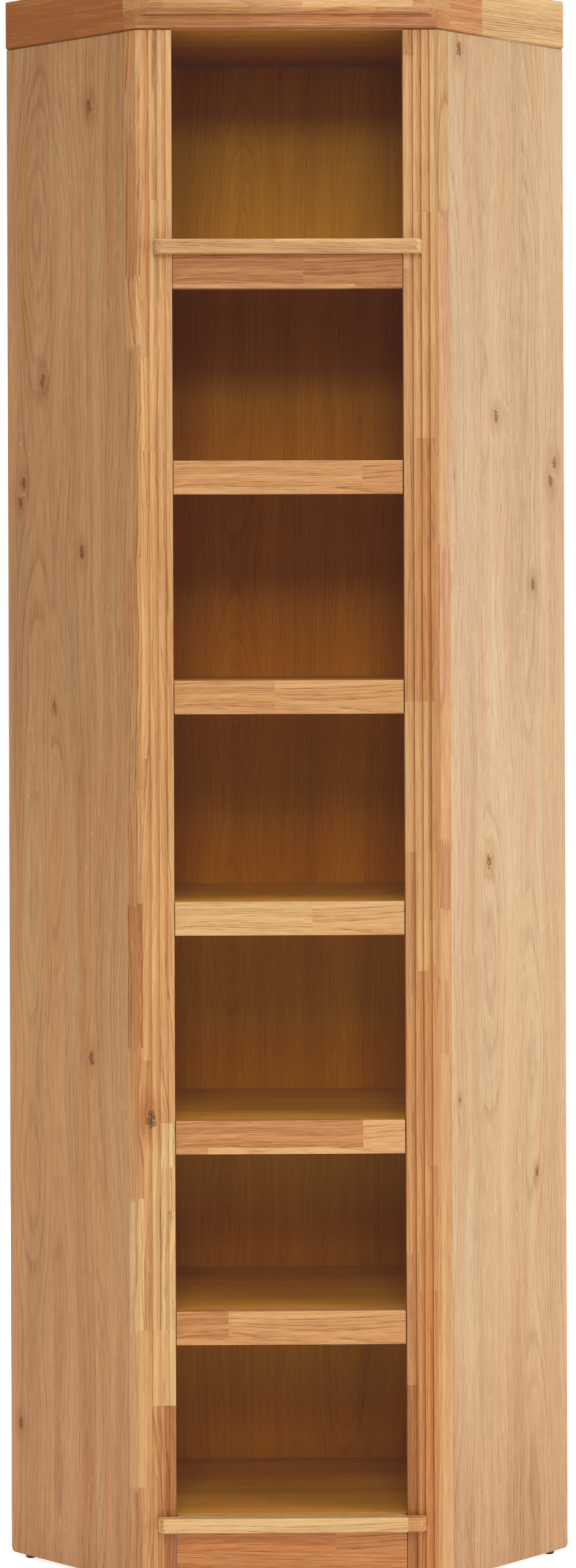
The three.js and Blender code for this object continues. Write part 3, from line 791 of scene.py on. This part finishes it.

# %% [markdown]
# ## Shelf boards and back
# Inside, the boards and the back are veneered too, in a darker golden oak. The backs have upright grain
# with tall arches, the shelves have grain that runs across, and each shelf gets its own seed. Each bay's
# back has painted light and shade: it is redder at its lit foot and greener in the painted shade of the
# board above. These steps were set to match the photograph under the lights of this scene, so they stand in
# for a part of its light. What nobody sees, the rear of the backs and the top of the unit, was left raw and
# is paler: the normal tells which side a point is on.

# %% Painted light and shade of the backs
LIT_REACH, SHADE_REACH = 0.04, 0.13
BAYS = (
    # board under the bay, tone and redness of the lit foot, tone and redness in the shade
    ("bottom_board", -.12, -.1, -.10, -0.8), ("shelf_5_board", -.08, -.2, -.14, -1.1),
    ("shelf_4_board", -.10, -.1, -.10, -1.1), ("shelf_3_board", -.06, .2, .04, -.6),
    ("shelf_2_board", .01, .2, .09, -.3), ("shelf_1_board", .05, .0, .02, -.6),
)
# painted light and shade in the top bay, by height
TOP_BAY_PAINTED_LIGHT = [(1.80, .10, -.4), (1.87, -.14, -.7), (1.95, -.05, -.85), (2.03, .01, -.9),
                  (2.12, .0, -.4)]
back_painted_light = [(0.0, -.14, -.4)]
for name, lit_tone, lit_redness, shaded_tone, shaded_redness in BAYS:
    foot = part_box(name)[1].z
    back_painted_light.append((foot + LIT_REACH, lit_tone, lit_redness))
    back_painted_light.append((foot + SHADE_REACH, shaded_tone, shaded_redness))
back_painted_light += TOP_BAY_PAINTED_LIGHT
print("ageing rows", len(back_painted_light))

# %% Inner materials
BACK_SHEET, SHELF_SHEET = 210 * MM, 130 * MM
# the top panel is the ceiling of the top bay: its deeper tone paints the shade under the top of the unit
INNER_TONE, CEILING_SHADE_TONE, INNER_REDNESS = 0.30, 0.85, 0.2
BACK_GRAIN = {"Heart": (0.0, -0.335, 0), "Heart Spread": 0.08, "Ring Width": 5.0 * MM, "Wander": 0.010,
              "Arch": 0.24, "Rings": 0.42, "Fibre": 0.4, "Flecks": 0.0}
SHELF_GRAIN = {"Heart": (0.0, 0.05, 0), "Heart Spread": 0.10, "Ring Width": 3.6 * MM, "Wander": 0.007,
               "Rings": 0.35, "Flecks": 0.0}
RAW_SIDES = {"top_panel": Z, "plinth_rear": Y}
BOARDS = ["upper_board", "bottom_board", "top_panel", "plinth_rear"]
BOARDS += [f"shelf_{number}_board" for number in range(1, 6)]
inner_finish = {"redness": INNER_REDNESS, "gloss": OILED, "haze": True}
backs = wood_material(
    "back veneer", Vector((0, front_y, 0)), X, Y, Z, "inner", leaf=BACK_SHEET, tone=INNER_TONE,
    painted_light=back_painted_light, raw_side=Y, **inner_finish, **BACK_GRAIN,
)
for name in ("back_panel_centre", "back_panel_left", "back_panel_right"):
    materials[name] = backs
for number, name in enumerate(BOARDS):
    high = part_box(name)[1]
    materials[name] = wood_material(
        name.replace("_", " ") + " veneer", Vector((0, front_y, high.z)), Y, -Z, X, "shelf",
        leaf=SHELF_SHEET, tone=CEILING_SHADE_TONE if name == "top_panel" else INNER_TONE, seed=0.07 * number,
        raw_side=RAW_SIDES.get(name), **inner_finish, **SHELF_GRAIN,
    )
print("inner boards", len(BOARDS))

# %% [markdown]
# ## Metal and plastic
# Shelf pins and wall brackets are nickel plated steel with fine brushing, and the glides are dull black
# plastic with a faint grain from the mould.

# %% Metal and plastic materials
SMUDGES, SMUDGE_DARK = (60, 60, 60), 0.72
SMOOTHER, ROUGHER = 0.08, 0.10
FINE_RELIEF = {"Strength": 0.25, "Distance": 0.2 * MM}


def plain_finish(name, base, metallic, rough, grain):
    material, tree, shader = new_material(name)
    point = tree.add("ShaderNodeTexCoord").outputs["Object"]
    speckle = tree.noise(point, grain, 3)
    smudge = tree.noise(point, SMUDGES, 2)
    darker = tuple(value * SMUDGE_DARK for value in base[:3]) + (1,)
    tree.plug(shader.inputs["Base Color"], tree.mix(smudge, darker, base))
    spread = tree.ramp(speckle, 0.2, 0.8, rough - SMOOTHER, rough + ROUGHER)
    tree.plug(shader.inputs["Roughness"], spread)
    bump = tree.add("ShaderNodeBump", {"Height": speckle, **FINE_RELIEF})
    tree.plug(shader.inputs["Normal"], bump.outputs[0])
    shader.inputs["Metallic"].default_value = metallic
    return material


STEEL = plain_finish("nickel plated steel", (0.46, 0.45, 0.43, 1), 1.0, 0.30, (2200, 2200, 90))
ZINC = plain_finish("zinc screw", (0.55, 0.52, 0.42, 1), 1.0, 0.38, (1500, 1500, 1500))
PLASTIC = plain_finish("black plastic", (0.018, 0.018, 0.020, 1), 0.0, 0.48, (1800, 1800, 1800))
print("plain finishes", 3)

# %% [markdown]
# ## Eased copies of the CAD pieces
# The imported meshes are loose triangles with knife-sharp edges. Real boards have their arrises sanded. Each
# piece is copied, its triangles are welded, its flat faces are joined into whole faces, and its sharp
# edges are rounded with a small bevel. Weighted normals keep the large faces flat while the rounding
# shades softly.

# %% Eased copy
WELD = 0.00001
FLAT = math.radians(0.3)
SHARP = math.radians(28)
CREASE = math.radians(50)


def eased_copy(node, radius, segments, shortest, whole_faces=True):
    source = frame["nodes"][node]
    mesh = bpy.data.meshes.new(node + "_finished")
    work = bmesh.new()
    work.from_mesh(source.data)
    bmesh.ops.remove_doubles(work, verts=work.verts, dist=WELD)
    if whole_faces:
        bmesh.ops.dissolve_limit(work, angle_limit=FLAT, verts=work.verts, edges=work.edges)
    if radius:
        sharp = [edge for edge in work.edges if edge.is_manifold and edge.calc_face_angle(0) > SHARP
                 and edge.calc_length() > shortest]
        bmesh.ops.bevel(work, geom=sharp, offset=radius, segments=segments, profile=0.5, affect="EDGES",
                        clamp_overlap=False)
    bmesh.ops.recalc_face_normals(work, faces=work.faces)
    for face in work.faces:
        face.smooth = True
    for edge in work.edges:
        edge.smooth = edge.is_manifold and edge.calc_face_angle(0) < CREASE
    work.to_mesh(mesh)
    work.free()
    piece = placed(node + "_finished", mesh)
    weighted = piece.modifiers.new("weighted normals", "WEIGHTED_NORMAL")
    weighted.keep_sharp = True
    body = source["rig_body"]
    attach(piece, body)
    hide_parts(node)
    return piece


# %% Dress every node
NOSING_EASING, NO_EASING, USUAL_EASING = (2.6 * MM, 4, 0.001), (0, 1, 1), (0.8 * MM, 3, 0.01)
EASING = {
    # start of the node's name: radius, segments, and the shortest edge that is eased
    "pilaster": (0.35 * MM, 2, 0.2), "side_panel": (0.6 * MM, 2, 0.2), "cap_side": (0.6 * MM, 2, 0.01),
    "cornice": (0.3 * MM, 2, 0.2), "back_panel": (0.3 * MM, 1, 0.01), "upper_nosing": NOSING_EASING,
    "bottom_nosing": NOSING_EASING, "pin": NO_EASING, "glide": NO_EASING, "wall": NO_EASING,
}
finished = {}
for node in sorted(frame["nodes"]):
    easing = next((row for start, row in EASING.items() if node.startswith(start)), USUAL_EASING)
    piece = eased_copy(node, *easing, whole_faces=not node.startswith("side_panel"))
    if node in materials:
        finish = materials[node]
    else:
        finish = PLASTIC if node.startswith("glide") else STEEL
    piece.data.materials.append(finish)
    finished[node] = piece
print("dressed", len(finished), "pieces,", sum(len(p.data.polygons) for p in finished.values()), "faces")

# %% [markdown]
# ## Screws
# The backs are screwed to the ends of the two fixed boards from behind, and each wall bracket has one
# screw in its foot. Such small heads aren't in the CAD model. A head could be turned and then cut by a
# boolean, but here both the dome and the cross recess are loops around one axis, with the same number of
# points: the faces between neighbouring loops make a clean closed mesh without any cutting.

# %% Screw heads
HEAD_RADIUS = 3.6 * MM
HEAD_POINTS = 24
CROSS_ARM = 2.0 * MM
CROSS_HALF_WIDTH = CROSS_ARM * math.tan(math.radians(15))


def disc_reach(angle, size):
    return HEAD_RADIUS * size


def cross_reach(angle, size):
    """How far the outline of a cross lies from its middle in one direction."""
    along, aside = max(abs(math.cos(angle)), 1e-9), max(abs(math.sin(angle)), 1e-9)
    one_bar = min(CROSS_ARM / along, CROSS_HALF_WIDTH / aside)
    other_bar = min(CROSS_HALF_WIDTH / along, CROSS_ARM / aside)
    return size * max(one_bar, other_bar)


HEAD_LOOPS = (
    # outline, size, height above the board
    (disc_reach, 1.00, -0.20 * MM), (disc_reach, 1.00, 0.20 * MM), (disc_reach, 0.88, 0.60 * MM),
    (disc_reach, 0.70, 0.85 * MM), (cross_reach, 1.00, 0.92 * MM), (cross_reach, 0.72, 0.10 * MM),
)


def add_head(work, place, outwards):
    turned = outwards.to_track_quat("Z", "Y").to_matrix()
    loops = []
    for reach, size, height in HEAD_LOOPS:
        loop = []
        for number in range(HEAD_POINTS):
            angle = 2 * math.pi * number / HEAD_POINTS
            far = reach(angle, size)
            point = Vector((far * math.cos(angle), far * math.sin(angle), height))
            loop.append(work.verts.new(place + turned @ point))
        loops.append(loop)
    for lower, upper in zip(loops, loops[1:]):
        for number in range(HEAD_POINTS):
            following = (number + 1) % HEAD_POINTS
            work.faces.new((lower[number], lower[following], upper[following], upper[number]))
    work.faces.new(loops[0][::-1])
    work.faces.new(loops[-1])


def screws(name, holder, places, outwards):
    """One piece with a head at each place, carried by the holder's body."""
    work = bmesh.new()
    for place in places:
        add_head(work, place, outwards)
    bmesh.ops.recalc_face_normals(work, faces=work.faces)
    for face in work.faces:
        face.smooth = True
    for edge in work.edges:
        edge.smooth = edge.calc_face_angle(0) < SHARP
    mesh = bpy.data.meshes.new(name)
    work.to_mesh(mesh)
    work.free()
    mesh.materials.append(ZINC)
    piece = placed(name, mesh)
    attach(piece, frame["nodes"][holder]["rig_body"])
    return piece


def middle(node):
    low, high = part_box(node)
    return (low + high) / 2


# %% Screws in the backs and brackets
BRACKET_PLATE = 2.0 * MM
CENTRE_PLACES = (-0.15, 0, 0.15)
WALL_SIDE_SHARES = (0.15, 0.5, 0.85)
rear_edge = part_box("back_panel_centre")[1]
wall_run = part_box("back_panel_right")[1].x - rear_edge.x
heights = [middle(node).z for node in ("bottom_board", "upper_board")]
spots = [Vector((x, rear_edge.y, z)) for z in heights for x in CENTRE_PLACES]
screws("back_screws_centre", "back_panel_centre", spots, Y)
for side, hand in HANDS.items():
    spots = [Vector((hand * (rear_edge.x + share * wall_run), rear_edge.y - share * wall_run, z))
             for z in heights for share in WALL_SIDE_SHARES]
    screws("back_screws_" + side, "back_panel_" + side, spots, Vector((hand, 1, 0)).normalized())
    foot = middle("wall_bracket_" + side)
    foot.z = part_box("wall_bracket_" + side)[0].z + BRACKET_PLATE
    screws("bracket_screw_" + side, "wall_bracket_" + side, [foot], Z)
print("screw in the right bracket at", tuple(round(value, 4) for value in foot))

# %% [markdown]
# ## Studio
# A pale floor and a white surround give even light from all sides, and large soft boxes shape the unit:
# the keys stand at the right, so the right side is the brighter one and the flutes darken towards their
# right wall. A narrow, distant box in front casts the soft step of shade in each bay, and one behind lights
# the backs. The camera sees surround and floor as plain white, and the lacquer mirrors a part of it.

# %% Floor and surround
FLOOR_HALF = 3.2
FLOOR_GLOW = 0.31
FLOOR_SEEN = 0.70
FLOOR_PAINT, FLOOR_ROUGHNESS = (0.94, 0.94, 0.93, 1), 0.7
WHITE = (1, 1, 1, 1)
floor_mesh = bpy.data.meshes.new("studio_floor")
floor_bmesh = bmesh.new()
bmesh.ops.create_grid(floor_bmesh, x_segments=8, y_segments=8, size=FLOOR_HALF)
floor_bmesh.to_mesh(floor_mesh)
floor_bmesh.free()
floor = placed("studio_floor", floor_mesh)
floor_material, floor_tree, floor_shader = new_material("pale floor")
floor_shader.inputs["Base Color"].default_value = FLOOR_PAINT
floor_shader.inputs["Roughness"].default_value = FLOOR_ROUGHNESS
floor_shader.inputs["Emission Color"].default_value = WHITE
seen_floor = floor_tree.add("ShaderNodeLightPath").outputs["Is Camera Ray"]
floor_glow = floor_tree.ramp(seen_floor, 0, 1, FLOOR_GLOW, FLOOR_SEEN)
floor_tree.plug(floor_shader.inputs["Emission Strength"], floor_glow)
floor_mesh.materials.append(floor_material)

SURROUND_LIGHT = 0.04
SURROUND_SHEEN = 0.6
SURROUND_TINT = (0.80, 0.90, 1.0, 1)
world = bpy.data.worlds.new("studio surround")
world.use_nodes = True
scene.world = world
tree = Tree(world.node_tree)
glow = world.node_tree.nodes["Background"]
glow.inputs["Color"].default_value = SURROUND_TINT
glow.inputs["Strength"].default_value = SURROUND_LIGHT
white = tree.add("ShaderNodeBackground", {"Color": WHITE, "Strength": 1.0})
ray = tree.add("ShaderNodeLightPath").outputs
sheen = tree.times(ray["Is Glossy Ray"], SURROUND_SHEEN)
seen = tree.math("MAXIMUM", ray["Is Camera Ray"], sheen)
choice = tree.add("ShaderNodeMixShader", {0: seen, 1: glow.outputs[0], 2: white.outputs[0]})
tree.plug(world.node_tree.nodes["World Output"].inputs["Surface"], choice.outputs[0])

# %% Soft boxes
AIM = Vector((0, 0, 1.1))
WARM = (1.0, 0.97, 0.92)
SOFT_BOXES = (
    # name, azimuth, elevation, distance, width, height, watts, colour
    ("overhead", 0, 90, 3.4, 4.0, 4.0, 150, WARM),
    ("front_far", 0, 22, 8.0, 2.6, 0.9, 50, WARM),
    ("front_middle", 0, 19, 5.0, 2.2, 1.8, 25, WARM),
    ("front_high", 0, 35, 4.4, 2.4, 1.6, 40, WARM),
    ("floor_bounce", 0, -20, 2.6, 2.0, 0.8, 3.5, WARM),
    ("key_front", 61, 12, 4.0, 1.4, 2.4, 36, (0.98, 0.98, 1.0)),
    ("key_right", 77, 7, 3.2, 2.0, 1.8, 38, (0.97, 0.98, 1.0)),
    ("fill_left", -57, 10, 4.0, 2.0, 2.4, 20, (1.0, 0.97, 0.93)),
    ("rear", 180, 22, 4.0, 2.6, 1.8, 40, (1.0, 0.98, 0.95)),
)
for name, azimuth, elevation, distance, width, height, watts, colour in SOFT_BOXES:
    light = bpy.data.lights.new(name, "AREA")
    light.shape, light.size, light.size_y = "RECTANGLE", width, height
    light.energy, light.color = watts, colour
    box = placed(name, light)
    turn, lift = math.radians(azimuth), math.radians(elevation)
    outwards = Vector((math.sin(turn) * math.cos(lift), -math.cos(turn) * math.cos(lift), math.sin(lift)))
    box.location = AIM + outwards * distance
    box.rotation_euler = (-outwards).to_track_quat("-Z", "Y").to_euler()
    box.visible_camera = False
scene.view_settings.view_transform = "Standard"
print("soft boxes", len(SOFT_BOXES))
